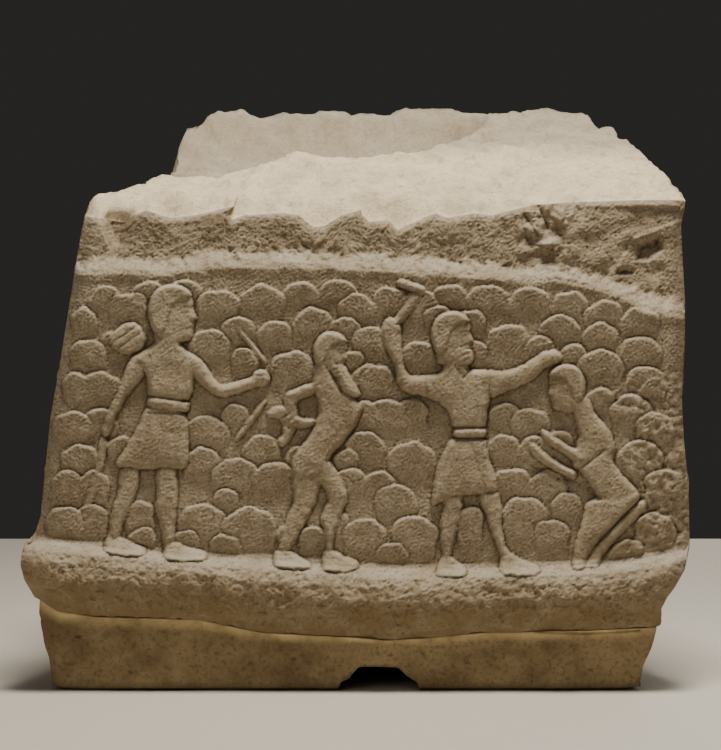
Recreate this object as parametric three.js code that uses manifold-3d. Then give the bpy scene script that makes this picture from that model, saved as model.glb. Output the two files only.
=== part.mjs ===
// Squat victory stele: a boulder-like block of limestone with a carved front
// panel, bedded on a cast, level foot. Millimetres, +Z up, front face towards -Y.
// Origin: centre of the bounding box in X and Y, underside of the foot in Z.
import * as THREE from 'three';
import { mergeVertices } from 'three/addons/utils/BufferGeometryUtils.js';
import Module from 'manifold-3d';

// ---------------------------------------------------------------- dimensions
// The front is drawn on a grid of 721 x 750 units, seen from VIEW in front of
// the panel plane at the height EYE_Z. One unit is UNIT millimetres there.
const UNIT = 1.05;
const COL0 = 360.5;            // grid column of x = 0
const ROW0 = 347;              // grid row at the height EYE_Z
const EYE_Z = 360;             // mm above the underside of the foot
const VIEW = 2800;             // mm from the panel plane
const DEPTH = 440;             // panel plane to back face
const LEAN = 0.045;            // the panel leans back by this much per mm of height
const BED_GAP = 0.3;           // bedding joint between the block and the foot
const BED_OVER = 20;           // both are made this much past the joint, then cut to it
const HILL = 6;                // relief height of a hill's rim
const HILL_LOW = 2.4;          // relief height at a hill's lower end
const BACK_INSET = 34;         // rounding of the back corners in plan
const ROUGH = 5;               // hewing of the sides and the back
const LIP = 4.2;               // the foot's lower arris is cast this much off the ground
const LIP_IN = 12;             // and rounds in by this much to the flat underside
const SHIFT_X = 3.28;          // brings the box to the origin
const SHIFT_Y = -201.75;

// Left and right outline of the front, [row, column]
const LEFT = [[200, 108], [208, 95], [215, 85], [240, 80], [300, 70], [350, 62], [420, 50], [520, 40],
  [538, 35], [550, 23], [565, 20], [580, 24], [597, 34], [605, 38], [640, 38], [670, 40], [690, 46]];
const RIGHT = [[200, 684], [210, 684], [225, 681], [250, 682], [300, 685], [340, 685], [400, 682],
  [440, 684], [470, 687], [500, 689], [545, 690], [556, 688], [570, 685], [588, 675], [597, 668],
  [608, 662], [643, 656], [650, 648], [664, 644], [690, 641]];
// Bright edge of the ground ledge, the bedding joint under the ledge, the edge
// of the lost upper register and the top of the band above it, [column, row]
const LEDGE = [[20, 542], [96, 549.6], [167.5, 557], [275, 564], [359, 571], [440, 573.5], [504, 571],
  [576, 569], [624, 566], [690, 553]];
const JOINT = [[20, 590], [36, 597], [48, 605], [60, 612], [96, 617], [199, 620], [263, 633], [359, 638],
  [385, 640.6], [433, 638], [481, 633], [528, 632], [576, 631], [641, 628.6], [700, 626]];
const STRIP = [[60, 271], [117, 269], [165, 271], [206, 263], [297, 263], [361, 265.5], [440, 271],
  [504, 276], [528, 280], [552, 276], [576, 281], [617, 292], [640, 303], [700, 318]];
const BAND_TOP = [[85, 214], [134, 221], [179, 217], [206, 212], [230, 210], [287, 212], [325, 222],
  [361, 211], [404, 226], [438, 213], [495, 214], [530, 205], [576, 202], [640, 200], [690, 200]];
// Section of the ledge: share of the way from its edge to the joint, depth
const LEDGE_SECTION = [[-0.14, 0], [-0.05, -5], [0.02, -19], [0.1, -31], [0.25, -39], [0.45, -41],
  [0.65, -37], [0.85, -27], [1, -16]];
// Section of the strip: rows below its edge, depth behind the panel
const STRIP_SECTION = [[-60, 21], [-14, 19], [-10, 17], [0, 2], [5, -2], [14, 0]];
const FOOT_Y = -15;            // front face of the foot
// Strap slot through the foot, [column, row] of its profile
const SLOT = [[336, 700], [340, 683], [349, 679], [353, 673.5], [359, 667.4], [373, 667], [398, 668],
  [407, 676.6], [417, 682.7], [423, 700]];

// Relief of the figures: outline in grid units, relief height in mm
const FIGURES = [
  // soldier with quiver and bow
  { h: 9, p: [[132, 317], [149, 337], [143, 350], [123, 357], [103, 340]] },
  { h: 7, p: [[232, 325], [237, 322], [269, 362], [264, 366]] },
  { h: 7, p: [[263, 398], [269, 402], [238, 443], [232, 439]] },
  { h: 6, p: [[99, 436], [109, 436], [105, 462], [101, 478], [96, 494], [91, 508], [88, 520], [81, 519],
    [82, 508], [87, 492], [92, 476], [97, 460]] },
  { h: 14, p: [[162, 334], [150, 347], [141, 352], [133, 357], [140, 368], [146, 376], [147, 388],
    [148, 398], [188, 402], [191, 396], [194, 387], [194, 377], [202, 366], [200, 358], [190, 352],
    [182, 346], [180, 334]] },
  { h: 11, p: [[141, 352], [131, 357], [126, 366], [121, 380], [113, 400], [106, 415], [101, 427],
    [102, 436], [108, 438], [113, 429], [116, 418], [121, 408], [128, 396], [137, 385], [148, 374]] },
  { h: 12, p: [[186, 352], [196, 355], [203, 361], [209, 369], [215, 379], [222, 385], [236, 381],
    [251, 377], [254, 371], [262, 368], [270, 373], [271, 381], [266, 386], [257, 387], [246, 391],
    [235, 395], [224, 398], [215, 396], [207, 390], [199, 383], [192, 376]] },
  { h: 13, p: [[147, 404], [142, 414], [136, 428], [126, 446], [112, 466], [128, 469], [146, 470],
    [166, 469], [188, 470], [189, 455], [189, 440], [188, 410]] },
  { h: 16, p: [[147, 396], [160, 396], [175, 399], [190, 401], [189, 413], [172, 413], [156, 411],
    [146, 407]] },
  { h: 10, p: [[119, 466], [140, 466], [139, 485], [134, 500], [127, 516], [121, 532], [119, 541],
    [107, 543], [109, 525], [112, 508], [115, 499], [118, 490]] },
  { h: 12, p: [[106, 537], [120, 536], [130, 541], [142, 546], [147, 550], [144, 556], [125, 557],
    [105, 553], [103, 546]] },
  { h: 11, p: [[154, 466], [177, 466], [178, 484], [178, 500], [176, 516], [175, 532], [175, 545],
    [163, 547], [161, 530], [157, 516], [153, 505], [157, 495]] },
  { h: 12, p: [[163, 541], [176, 541], [188, 546], [202, 550], [209, 554], [205, 561], [185, 562],
    [163, 560]] },
  // bound captive
  { h: 12, p: [[316, 362], [328, 362], [338, 380], [344, 392], [352, 396], [361, 404], [363, 412],
    [357, 425], [349, 437], [339, 448], [331, 456], [328, 464], [322, 476], [308, 481], [295, 478],
    [290, 468], [291, 459], [297, 450], [305, 440], [311, 432], [315, 422], [319, 411], [317, 400],
    [313, 391], [312, 376]] },
  { h: 14, p: [[331, 362], [346, 364], [352, 379], [361, 391], [361, 397], [352, 398], [344, 394],
    [338, 386]] },
  { h: 11, p: [[319, 379], [320, 390], [312, 396], [298, 400], [297, 410], [300, 418], [316, 418],
    [315, 426], [303, 429], [291, 428], [284, 424], [284, 410], [283, 399], [287, 391], [296, 388],
    [306, 384]] },
  { h: 9, p: [[266, 412], [274, 406], [286, 405], [291, 411], [298, 426], [294, 434], [287, 446],
    [280, 448], [275, 442], [282, 434], [282, 424], [279, 419], [267, 418]] },
  { h: 10, p: [[291, 464], [324, 466], [324, 478], [319, 490], [316, 503], [309, 516], [302, 530],
    [295, 543], [290, 553], [276, 555], [280, 540], [284, 527], [287, 514], [293, 505], [293, 492],
    [290, 478]] },
  { h: 12, p: [[275, 549], [290, 549], [299, 556], [311, 562], [312, 569], [296, 570], [275, 568],
    [272, 560]] },
  { h: 11, p: [[314, 460], [329, 459], [337, 470], [344, 482], [348, 494], [347, 503], [343, 511],
    [340, 521], [336, 533], [333, 544], [333, 553], [325, 554], [325, 541], [322, 528], [320, 516],
    [324, 507], [328, 500], [325, 490], [316, 478]] },
  { h: 12, p: [[322, 550], [333, 549], [344, 556], [358, 560], [360, 569], [340, 573], [321, 571]] },
  // axeman
  { h: 9, p: [[399, 328], [390, 322], [416, 288], [426, 294]] },
  { h: 11, p: [[399, 277], [428, 287], [424, 297], [395, 286]] },
  { h: 13, p: [[442, 346], [470, 346], [468, 370], [475, 369], [491, 370], [492, 384], [491, 400],
    [487, 412], [486, 430], [453, 430], [450, 416], [446, 409], [438, 402], [424, 397], [405, 391],
    [409, 376], [424, 375], [444, 373]] },
  { h: 11, p: [[383, 321], [390, 316], [398, 319], [402, 327], [401, 340], [403, 358], [405, 367],
    [409, 376], [424, 376], [426, 392], [415, 396], [402, 391], [396, 381], [395, 368], [391, 358],
    [385, 348], [380, 332]] },
  { h: 12, p: [[474, 369], [490, 370], [504, 371], [521, 366], [534, 357], [543, 350], [553, 348],
    [562, 352], [564, 360], [555, 365], [546, 368], [537, 377], [524, 385], [504, 393], [488, 400]] },
  { h: 15, p: [[453, 427], [486, 426], [487, 439], [452, 439]] },
  { h: 12, p: [[453, 437], [447, 443], [441, 455], [436, 468], [433, 484], [430, 508], [443, 501],
    [458, 496], [476, 495], [500, 492], [497, 482], [493, 468], [488, 452], [486, 437]] },
  { h: 9, p: [[443, 496], [463, 492], [463, 508], [459, 524], [455, 540], [451, 559], [443, 562],
    [441, 545], [440, 530], [440, 520], [443, 510]] },
  { h: 11, p: [[442, 556], [451, 556], [460, 563], [468, 568], [467, 577], [450, 578], [436, 577],
    [436, 566]] },
  { h: 10, p: [[480, 492], [499, 490], [502, 506], [502, 520], [503, 532], [506, 545], [512, 556],
    [502, 560], [497, 548], [492, 535], [488, 524], [486, 514], [480, 504]] },
  { h: 11, p: [[500, 554], [511, 553], [524, 560], [539, 565], [542, 574], [525, 577], [499, 575]] },
  // kneeling captive
  { h: 11, p: [[568, 396], [588, 394], [598, 418], [606, 425], [613, 434], [616, 450], [613, 462],
    [621, 473], [630, 481], [638, 490], [638, 502], [620, 514], [603, 508], [597, 497], [590, 484],
    [582, 474], [572, 466], [572, 456], [577, 446], [578, 434], [574, 416]] },
  { h: 12, p: [[541, 428], [548, 431], [562, 440], [576, 449], [590, 455], [586, 465], [574, 462],
    [560, 452], [547, 444], [540, 436]] },
  { h: 12, p: [[527, 443], [535, 442], [542, 448], [553, 458], [565, 466], [578, 471], [576, 481],
    [562, 475], [548, 467], [538, 460], [530, 454]] },
  { h: 13, p: [[585, 503], [598, 496], [618, 500], [638, 489], [641, 498], [636, 506], [620, 521],
    [600, 542], [590, 554], [585, 570], [571, 570], [574, 548], [579, 530], [583, 515]] },
  { h: 9, p: [[632, 506], [643, 498], [649, 506], [640, 517], [628, 528], [616, 541], [604, 554],
    [598, 568], [583, 568], [590, 552], [600, 540], [620, 519]] },
];

// Heads share one plain profile. x runs from the nape to the nose, y from the
// crown to the chin, in head heights.
const HEAD = [[0.40, 0], [0.56, 0.02], [0.70, 0.10], [0.77, 0.22], [0.79, 0.34], [0.775, 0.42], [0.83, 0.52],
  [0.86, 0.60], [0.80, 0.64], [0.80, 0.74], [0.78, 0.80], [0.79, 0.90], [0.72, 0.98], [0.60, 1.0], [0.50, 1.06],
  [0.12, 1.06], [0.10, 0.85], [0.02, 0.62], [0, 0.42], [0.06, 0.20], [0.20, 0.05]];
const HAIR = [[0.40, -0.01], [0.56, 0.01], [0.71, 0.09], [0.79, 0.22], [0.62, 0.26], [0.46, 0.36], [0.38, 0.56],
  [0.32, 0.84], [0.10, 0.86], [0.01, 0.62], [-0.01, 0.42], [0.05, 0.19], [0.19, 0.04]];
// back of the head, crown, height, facing (1 right, -1 left), tilt in degrees, relief
const HEADS = [
  { col: 148, row: 284, size: 58, face: 1, tilt: 0, h: 14 },
  { col: 313, row: 331, size: 42, face: 1, tilt: 10, h: 12 },
  { col: 431, row: 311, size: 51, face: 1, tilt: 0, h: 13 },
  { col: 586, row: 364, size: 46, face: -1, tilt: -8, h: 11 },
];

// Hills: column of the middle, row of the crest, half width, height of the mound
const HILLS = [
  [106, 286, 18, 34], [128, 292, 20, 34], [150, 281, 22, 30], [184, 279, 20, 30], [218, 289, 22, 38],
  [262, 284, 24, 36], [300, 281, 20, 30], [338, 279, 22, 34], [357, 293, 20, 34], [390, 286, 20, 36],
  [450, 284, 20, 30], [420, 290, 20, 40], [488, 284, 23, 40], [530, 286, 22, 38], [570, 291, 20, 36],
  [604, 300, 20, 36], [640, 306, 20, 40], [88, 339, 20, 36], [238, 316, 18, 34], [274.7, 320.4, 18, 36],
  [314, 308, 23, 44], [371, 326, 20, 38], [346, 316, 16, 30], [440, 306, 16, 30], [470, 309, 16, 34],
  [509, 324, 24, 50], [560, 315, 22, 34], [540, 336, 16, 30], [600, 322, 18, 32], [640, 336, 22, 40],
  [209, 329, 22, 40], [100, 372, 25, 40], [293, 351, 24, 44], [369, 364, 20, 38], [419, 341, 18, 34],
  [378, 365, 16, 34], [601, 349, 24, 40], [645, 366, 22, 40], [72, 410, 20, 40], [99, 408, 20, 34],
  [386, 399, 22, 40], [412, 398, 16, 40], [206, 415, 24, 40], [236, 404, 16, 36], [262, 435, 20, 36],
  [530, 408, 20, 36], [505, 402, 16, 30], [600, 387, 16, 34], [632, 394, 22, 40], [655, 412, 20, 44],
  [80, 444, 20, 40], [202, 448, 20, 36], [236, 458, 26, 44], [274, 462, 22, 44], [365, 431, 21, 40],
  [412, 441, 26, 46], [504, 434, 18, 34], [536, 436, 18, 36], [640, 440, 24, 50], [664, 468, 20, 50],
  [68, 470, 18, 44], [94, 470, 16, 44], [350, 468, 20, 44], [380, 470, 16, 40], [396, 484, 22, 44],
  [512.8, 468.3, 22, 40], [548, 470, 20, 40], [64, 506, 20, 44], [92, 504, 16, 44], [140, 500, 16, 50],
  [202, 503, 25, 54], [250, 507, 27, 54], [365, 518, 23, 54], [414, 515, 24, 58], [525, 497, 24, 60],
  [553, 519, 18, 44], [567, 492, 16, 40], [655, 512, 22, 50], [628, 540, 20, 30], [142, 528, 16, 30],
  [225, 534, 16, 28], [392, 542, 16, 30],
];

// ---------------------------------------------------------------- helpers
const lerp = (a, b, t) => a + (b - a) * t;
const clamp = (t, a = 0, b = 1) => Math.min(b, Math.max(a, t));
const ease = (a, b, t) => { const s = clamp((t - a) / (b - a)); return s * s * (3 - 2 * s); };
const along = (table, t) => {
  if (t <= table[0][0]) return table[0][1];
  for (let i = 1; i < table.length; i++) {
    if (t <= table[i][0]) {
      const [t0, a] = table[i - 1], [t1, b] = table[i];
      return lerp(a, b, (t - t0) / (t1 - t0));
    }
  }
  return table[table.length - 1][1];
};
// A grid point at the depth y, in millimetres
const at = (col, row, y) => {
  const k = 1 + y / VIEW;
  return [(col - COL0) * UNIT * k, y, EYE_Z + (ROW0 - row) * UNIT * k];
};
// Gentle hewn waviness, the same every time
const wave = (x, y, z) => Math.sin(x * 0.031 + y * 0.017 + 1.3) * Math.sin(z * 0.027 - y * 0.021 + 0.4) * 0.6
  + Math.sin(x * 0.071 - z * 0.053 + y * 0.063 + 2.1) * 0.4;

const panelY = (row) => (572 - row) * UNIT * LEAN;

// Depth of the front surface without its relief
const frontY = (col, row) => {
  const edge = along(LEDGE, col), joint = along(JOINT, col), strip = along(STRIP, col);
  const t = (row - edge) / (joint - edge);
  if (t > LEDGE_SECTION[0][0]) return along(LEDGE_SECTION, t) + Math.max(0, panelY(row)) * (t < 0 ? 1 : 0);
  return panelY(row) + along(STRIP_SECTION, row - strip);
};

// Height of the broken top, rising to the back, with the trough behind the shelf
const topZ = (x, y) => {
  const base = along([[0, 486], [34, 499], [60, 517], [130, 557], [165, 571], [230, 595], [320, 618], [380, 636],
    [430, 650]], y);
  const left = ease(-60, -190, x) * ease(60, 140, y) * ease(230, 180, y) * -20;
  const reach = along([[120, -10], [165, 40], [200, 76], [250, 110], [350, 143], [400, 120], [430, 60]], y);
  const inside = ease(20, -30, x - reach);
  const trough = along([[120, 0], [165, -4], [195, -34], [230, -52], [270, -60], [320, -60], [360, -46], [385, -24], [405, -6],
    [430, 0]], y) * inside;
  const lump = ease(-110, -170, x) * ease(215, 275, y) * ease(470, 380, y) * 14;
  return base + left + trough + lump + 2.5 * wave(x * 1.7, y * 1.7, 40);
};

// ---------------------------------------------------------------- solids
// A closed body from a deformed cube: place(u, v, w) gives each surface point.
const steps = (n) => Array.from({ length: n + 1 }, (_, i) => i / n);
const cubeBody = (us, vs, ws, place) => {
  const positions = [], index = [], seen = new Map();
  const vertex = (i, j, k) => {
    const key = `${i},${j},${k}`;
    if (!seen.has(key)) { seen.set(key, positions.length / 3); positions.push(...place(us[i], vs[j], ws[k])); }
    return seen.get(key);
  };
  const quad = (a, b, c, d) => index.push(a, b, c, a, c, d);
  const U = us.length - 1, V = vs.length - 1, W = ws.length - 1;
  for (let i = 0; i < U; i++) for (let k = 0; k < W; k++) {
    quad(vertex(i, 0, k), vertex(i + 1, 0, k), vertex(i + 1, 0, k + 1), vertex(i, 0, k + 1));
    quad(vertex(i + 1, V, k), vertex(i, V, k), vertex(i, V, k + 1), vertex(i + 1, V, k + 1));
  }
  for (let j = 0; j < V; j++) for (let k = 0; k < W; k++) {
    quad(vertex(0, j + 1, k), vertex(0, j, k), vertex(0, j, k + 1), vertex(0, j + 1, k + 1));
    quad(vertex(U, j, k), vertex(U, j + 1, k), vertex(U, j + 1, k + 1), vertex(U, j, k + 1));
  }
  for (let i = 0; i < U; i++) for (let j = 0; j < V; j++) {
    quad(vertex(i, j, W), vertex(i + 1, j, W), vertex(i + 1, j + 1, W), vertex(i, j + 1, W));
    quad(vertex(i, j + 1, 0), vertex(i + 1, j + 1, 0), vertex(i + 1, j, 0), vertex(i, j, 0));
  }
  const geometry = new THREE.BufferGeometry();
  geometry.setAttribute('position', new THREE.Float32BufferAttribute(positions, 3));
  geometry.setIndex(index);
  return geometry;
};

// A closed prism from an outline in grid units, from the depth backY(row) out
// to frontAt(col, row).
const relief = (outline, frontAt, backAt) => {
  const points = outline.map(([c, r]) => new THREE.Vector2(c, -r));
  if (THREE.ShapeUtils.isClockWise(points)) points.reverse();
  const n = points.length, positions = [], index = [];
  for (const p of points) positions.push(...at(p.x, -p.y, frontAt(p.x, -p.y)));
  for (const p of points) positions.push(...at(p.x, -p.y, backAt));
  for (const [a, b, c] of THREE.ShapeUtils.triangulateShape(points, [])) index.push(a, b, c, n + a, n + c, n + b);
  for (let i = 0; i < n; i++) {
    const j = (i + 1) % n;
    index.push(i, n + i, n + j, i, n + j, j);
  }
  const geometry = new THREE.BufferGeometry();
  geometry.setAttribute('position', new THREE.Float32BufferAttribute(positions, 3));
  geometry.setIndex(index);
  return geometry;
};

// A flat-sided prism along Y from an outline in millimetres, [x, z]
const barAlongY = (outline, y0, y1) => {
  const shape = new THREE.Shape(outline.map(([x, z]) => new THREE.Vector2(x, z)));
  const geometry = new THREE.ExtrudeGeometry(shape, { depth: y1 - y0, bevelEnabled: false, steps: 1 });
  geometry.rotateX(Math.PI / 2);
  geometry.translate(0, y1, 0);
  return geometry;
};

const wasm = await Module();
wasm.setup();
const solid = (geometry) => {
  const clean = geometry.clone();
  clean.deleteAttribute('normal');
  clean.deleteAttribute('uv');
  const merged = mergeVertices(clean, 1e-4);
  return new wasm.Manifold(new wasm.Mesh({
    numProp: 3,
    vertProperties: new Float32Array(merged.attributes.position.array),
    triVerts: new Uint32Array(merged.index.array),
  }));
};
const CLEAN = 0.06;            // slivers under this many mm are merged away after the joins
const toGeometry = (manifold) => {
  const mesh = manifold.simplify(CLEAN).getMesh();
  const geometry = new THREE.BufferGeometry();
  geometry.setAttribute('position', new THREE.Float32BufferAttribute(mesh.vertProperties, 3));
  geometry.setIndex(new THREE.BufferAttribute(new Uint32Array(mesh.triVerts), 1));
  geometry.computeVertexNormals();
  return geometry;
};

// ---------------------------------------------------------------- outline of the body
// Front edge point of the block for u across and w up
const frontPoint = (u, w) => {
  const low = along(JOINT, lerp(38, 657, u)) + BED_OVER, high = along(BAND_TOP, lerp(93, 684, u));
  const row = lerp(low, high, w);
  const col = lerp(along(LEFT, row), along(RIGHT, row), u);
  return [col, row];
};
// The back of the block
const backX = (u, w) => lerp(lerp(-292, -206, w ** 1.4), lerp(286, 262, w), u);
const backY = (u, w) => DEPTH - BACK_INSET * Math.abs(2 * u - 1) ** 3 - 26 * ease(0.9, 1, w) - 22 * ease(0.25, 0, w);

const jointZ = (x, y) => {
  const col = COL0 + x / UNIT;
  return at(col, along(JOINT, col), FOOT_Y)[2] + 6 * ease(0, 400, y);
};
// Everything below the bedding joint, raised by the given amount
const belowJoint = (raise) => cubeBody(steps(28), [0, 0.2, 0.5, 0.8, 1], [0, 1], (u, v, w) => {
  const x = lerp(-420, 420, u), y = lerp(-90, 520, v);
  return [x, y, w === 0 ? -60 : jointZ(x, y) + raise];
});

// Rounding of the front arrises into the sides
const sideRound = (u) => 16 * Math.max(0, 1 - u / 0.028) ** 2 + 16 * Math.max(0, 1 - (1 - u) / 0.028) ** 2;

const blockPlace = (u, v, w) => {
  const [col, row] = frontPoint(u, w);
  const fy = frontY(col, row) + sideRound(u);
  const [fx, , fz] = at(col, row, fy);
  const bx = backX(u, w), by = backY(u, w);
  let x = lerp(fx, bx, v), y = lerp(fy, by, v);
  // the cut corner left of the shelf
  x += 34 * ease(0, 0.24, v) * ease(1, 0.45, v) * ease(0.72, 1, w) * ease(0.35, 0, u);
  const skin = Math.min(ease(0, 0.12, v), 1) * ROUGH * wave(x, y, fz);
  if (u === 0 || u === 1) x += (u === 0 ? -1 : 1) * skin;
  if (v === 1) y += skin;
  const z0 = lerp(fz, jointZ(x, y) - BED_OVER, w === 0 ? ease(0, 0.05, v) : 1);
  const [, , edgeTop] = at(...frontPoint(u, 1), frontY(...frontPoint(u, 1)));
  const z1 = lerp(edgeTop, topZ(x, y), ease(0, 0.07, v));
  return [x, y, v === 0 ? fz : lerp(z0, z1, w)];
};

const footPlace = (u, v, w) => {
  // w: 0 flat underside, 0.12 arris, 1 joint
  const colTop = lerp(38, 657, u), colLow = lerp(49, 641, u);
  const s = ease(0.12, 1, w);
  const col = lerp(colLow, colTop, s);
  const inset = w < 0.06 ? LIP_IN : 0;
  const fx = (col - COL0) * UNIT * (1 + FOOT_Y / VIEW);
  const bx = lerp(-286, 280, u) * lerp(0.985, 1, s);
  let x = lerp(fx, bx, v);
  let y = lerp(FOOT_Y + 10 * Math.abs(2 * u - 1) ** 12, DEPTH - 26 - BACK_INSET * Math.abs(2 * u - 1) ** 3, v);
  x += inset * (1 - 2 * u);
  y += inset * (1 - 2 * v);
  const top = jointZ(x, y) + BED_OVER;
  const z = w < 0.06 ? 0 : lerp(LIP, top, (w - 0.12) / 0.88);
  return [x, y, z];
};

// ---------------------------------------------------------------- block
const rows = [0, 0.04, 0.09, 0.135, 0.16, 0.185, 0.3, 0.42, 0.54, 0.66, 0.78, 0.845, 0.87, 0.9, 1];
const cols = [0, 0.018, ...steps(14).map((t) => lerp(0.04, 0.96, t)), 0.982, 1];
const deeps = [0, 0.05, 0.14, 0.25, 0.36, 0.47, 0.6, 0.76, 0.92, 1];
let block = solid(cubeBody(cols, deeps, rows, blockPlace));

block = block.subtract(solid(belowJoint(BED_GAP)));

// Hills, each a low mound whose crest stands proud of the mounds above it
for (const [col, row, half, tall] of [...HILLS].sort((a, b) => a[1] - b[1])) {
  const outline = [];
  for (let i = 0; i <= 6; i++) {
    const a = Math.PI * (1 - i / 6);
    outline.push([col + half * Math.cos(a), row + half * 0.86 * (1 - Math.sin(a))]);
  }
  const foot = Math.min(row + tall, along(LEDGE, col) - 4);
  if (foot < row + half) continue;
  outline.push([col + half * 0.8, foot], [col - half * 0.8, foot]);
  const left = along(LEFT, row + half), right = along(RIGHT, row + half);
  if (col - half < left + 6 || col + half > right - 6) continue;
  const front = (c, r) => panelY(r) - lerp(HILL, HILL_LOW, clamp((r - row) / tall));
  block = block.add(solid(relief(outline, front, 30)));
}

// Figures
for (const { h, p } of FIGURES) block = block.add(solid(relief(p, (c, r) => panelY(r) - h, 30)));
const headOutline = (shape, { col, row, size, face, tilt }) => {
  const a = THREE.MathUtils.degToRad(tilt);
  return shape.map(([x, y]) => {
    const dx = (x - 0.42) * face, dy = y - 0.5;
    return [col + face * 0.42 * size + size * (dx * Math.cos(a) - dy * Math.sin(a)),
      row + 0.5 * size + size * (dx * Math.sin(a) + dy * Math.cos(a))];
  });
};
for (const head of HEADS) {
  block = block.add(solid(relief(headOutline(HEAD, head), (c, r) => panelY(r) - head.h, 30)));
  block = block.add(solid(relief(headOutline(HAIR, head), (c, r) => panelY(r) - head.h - 3, 30)));
}

// Spall out of the top left corner of the front
const spall = new THREE.BufferGeometry();
const spallPoints = [at(97, 213, -6), at(136, 217, -6), at(116, 268, -6), at(124, 243, 44)];
spall.setAttribute('position', new THREE.Float32BufferAttribute(spallPoints.flat(), 3));
spall.setIndex([0, 2, 1, 0, 1, 3, 1, 2, 3, 2, 0, 3]);
block = block.subtract(solid(spall));

// ---------------------------------------------------------------- foot
const footCols = steps(20), footDeeps = steps(6), footRows = [0, 0.12, 0.5, 1];
let foot = solid(cubeBody(footCols, footDeeps, footRows, footPlace));
foot = foot.intersect(solid(belowJoint(0)));
const slotOutline = SLOT.map(([c, r]) => { const [x, , z] = at(c, r, FOOT_Y); return [x, z]; });
foot = foot.subtract(solid(barAlongY(slotOutline, -80, DEPTH + 60)));

// ---------------------------------------------------------------- scene
const stele = new THREE.Group();
stele.name = 'victory_stele';
const mesh = (name, manifold, material) => {
  const geometry = toGeometry(manifold);
  geometry.translate(SHIFT_X, SHIFT_Y, 0);
  const m = new THREE.Mesh(geometry, material);
  m.name = name;
  stele.add(m);
};
mesh('carved_block', block, new THREE.MeshStandardMaterial({ color: 0x9c8f76, roughness: 0.92, metalness: 0 }));
mesh('cast_foot', foot, new THREE.MeshStandardMaterial({ color: 0x6d5836, roughness: 0.85, metalness: 0 }));

export default stele;
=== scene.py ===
# Squat victory stele: a boulder-like block of limestone with a carved front
# panel, bedded on a cast, level foot. The front is drawn on the same grid as
# the CAD model, in millimetres, and brought to metres when the meshes are made.
import math

import bpy
import numpy as np
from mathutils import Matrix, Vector


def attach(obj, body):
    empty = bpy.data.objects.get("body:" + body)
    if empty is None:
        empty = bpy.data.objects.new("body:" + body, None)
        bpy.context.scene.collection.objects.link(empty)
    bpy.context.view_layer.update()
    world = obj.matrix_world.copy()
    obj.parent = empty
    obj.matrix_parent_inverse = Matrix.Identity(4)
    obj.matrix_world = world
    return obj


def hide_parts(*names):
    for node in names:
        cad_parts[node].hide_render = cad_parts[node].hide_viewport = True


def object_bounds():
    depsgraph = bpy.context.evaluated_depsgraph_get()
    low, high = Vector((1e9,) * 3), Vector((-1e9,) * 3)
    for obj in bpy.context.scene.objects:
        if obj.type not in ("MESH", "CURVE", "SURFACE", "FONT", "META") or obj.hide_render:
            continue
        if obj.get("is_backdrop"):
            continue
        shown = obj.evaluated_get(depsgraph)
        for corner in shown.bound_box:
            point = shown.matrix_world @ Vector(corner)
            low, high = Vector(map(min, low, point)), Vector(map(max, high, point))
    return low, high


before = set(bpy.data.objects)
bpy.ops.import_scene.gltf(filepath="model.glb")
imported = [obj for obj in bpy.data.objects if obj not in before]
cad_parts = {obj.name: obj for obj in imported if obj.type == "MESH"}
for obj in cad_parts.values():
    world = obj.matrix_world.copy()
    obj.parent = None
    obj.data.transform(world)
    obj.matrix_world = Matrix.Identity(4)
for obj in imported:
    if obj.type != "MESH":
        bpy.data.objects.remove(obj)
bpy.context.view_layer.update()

UNIT = 1.05
COL0 = 360.5            # grid column of x = 0
ROW0 = 347              # grid row at the height EYE_Z
EYE_Z = 360             # mm above the underside of the foot
VIEW = 2800             # mm from the panel plane
DEPTH = 440             # panel plane to back face
LEAN = 0.045            # the panel leans back by this much per mm of height
BED_GAP = 0.3           # bedding joint between the block and the foot
BED_OVER = 20           # overlap past the bedding joint
HILL = 6                # relief height of a hill's rim
HILL_LOW = 2.4          # relief height at a hill's lower end
BACK_INSET = 34         # rounding of the back corners in plan
ROUGH = 5               # hewing of the sides and the back
LIP = 4.2               # the foot's lower arris is cast this much off the ground
LIP_IN = 12             # and rounds in by this much to the flat underside
SHIFT_X = 3.28          # brings the box to the origin
SHIFT_Y = -201.75

# Left and right outline of the front, [row, column]
LEFT = [[200, 108], [208, 95], [215, 85], [240, 80], [300, 70], [350, 62], [420, 50], [520, 40],
  [538, 35], [550, 23], [565, 20], [580, 24], [597, 34], [605, 38], [640, 38], [670, 40], [690, 46]]
RIGHT = [[200, 684], [210, 684], [225, 681], [250, 682], [300, 685], [340, 685], [400, 682],
  [440, 684], [470, 687], [500, 689], [545, 690], [556, 688], [570, 685], [588, 675], [597, 668],
  [608, 662], [643, 656], [650, 648], [664, 644], [690, 641]]
# Bright edge of the ground ledge, the bedding joint under the ledge, the edge
# of the lost upper register and the top of the band above it, [column, row]
LEDGE = [[20, 542], [96, 549.6], [167.5, 557], [275, 564], [359, 571], [440, 573.5], [504, 571],
  [576, 569], [624, 566], [690, 553]]
JOINT = [[20, 590], [36, 597], [48, 605], [60, 612], [96, 617], [199, 620], [263, 633], [359, 638],
  [385, 640.6], [433, 638], [481, 633], [528, 632], [576, 631], [641, 628.6], [700, 626]]
STRIP = [[60, 271], [117, 269], [165, 271], [206, 263], [297, 263], [361, 265.5], [440, 271],
  [504, 276], [528, 280], [552, 276], [576, 281], [617, 292], [640, 303], [700, 318]]
BAND_TOP = [[85, 214], [134, 221], [179, 217], [206, 212], [230, 210], [287, 212], [325, 222],
  [361, 211], [404, 226], [438, 213], [495, 214], [530, 205], [576, 202], [640, 200], [690, 200]]
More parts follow.
